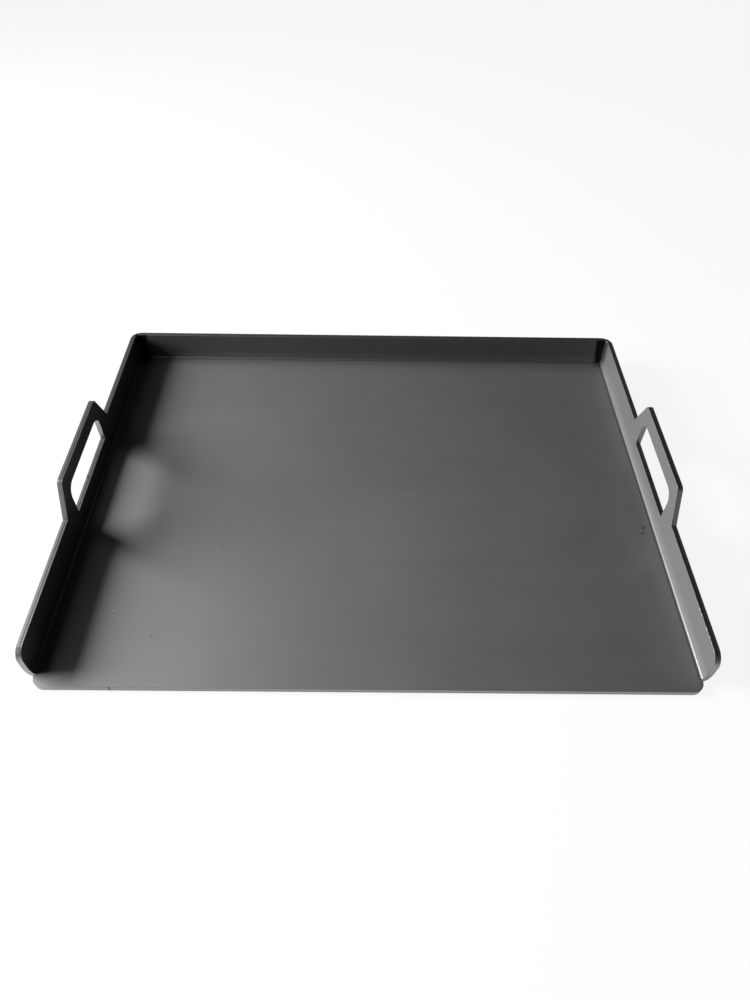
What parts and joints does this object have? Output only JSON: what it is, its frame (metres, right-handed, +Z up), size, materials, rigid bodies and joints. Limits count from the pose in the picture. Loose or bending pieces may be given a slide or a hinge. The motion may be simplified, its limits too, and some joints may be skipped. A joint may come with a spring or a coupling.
{
  "type": "camp griddle plate",
  "caption": "Flat steel griddle plate folded up at the sides and back, open at the front for scraping, with a hand hole in a raised tab on each side wall.",
  "frame": {"origin": "middle of the plate's width and depth, on its underside", "axes": "+X to the right along the width, +Y from the open front to the back wall, +Z up"},
  "size_m": [0.555, 0.43, 0.068],
  "materials": {
    "plate_steel": "dark mill-finished mild steel, satin",
    "weld_steel": "ground weld metal, satin"
  },
  "bodies": {
    "root": {"folded_plate": "plate_steel", "left_corner_weld": "weld_steel", "right_corner_weld": "weld_steel"}
  },
  "joints": []
}
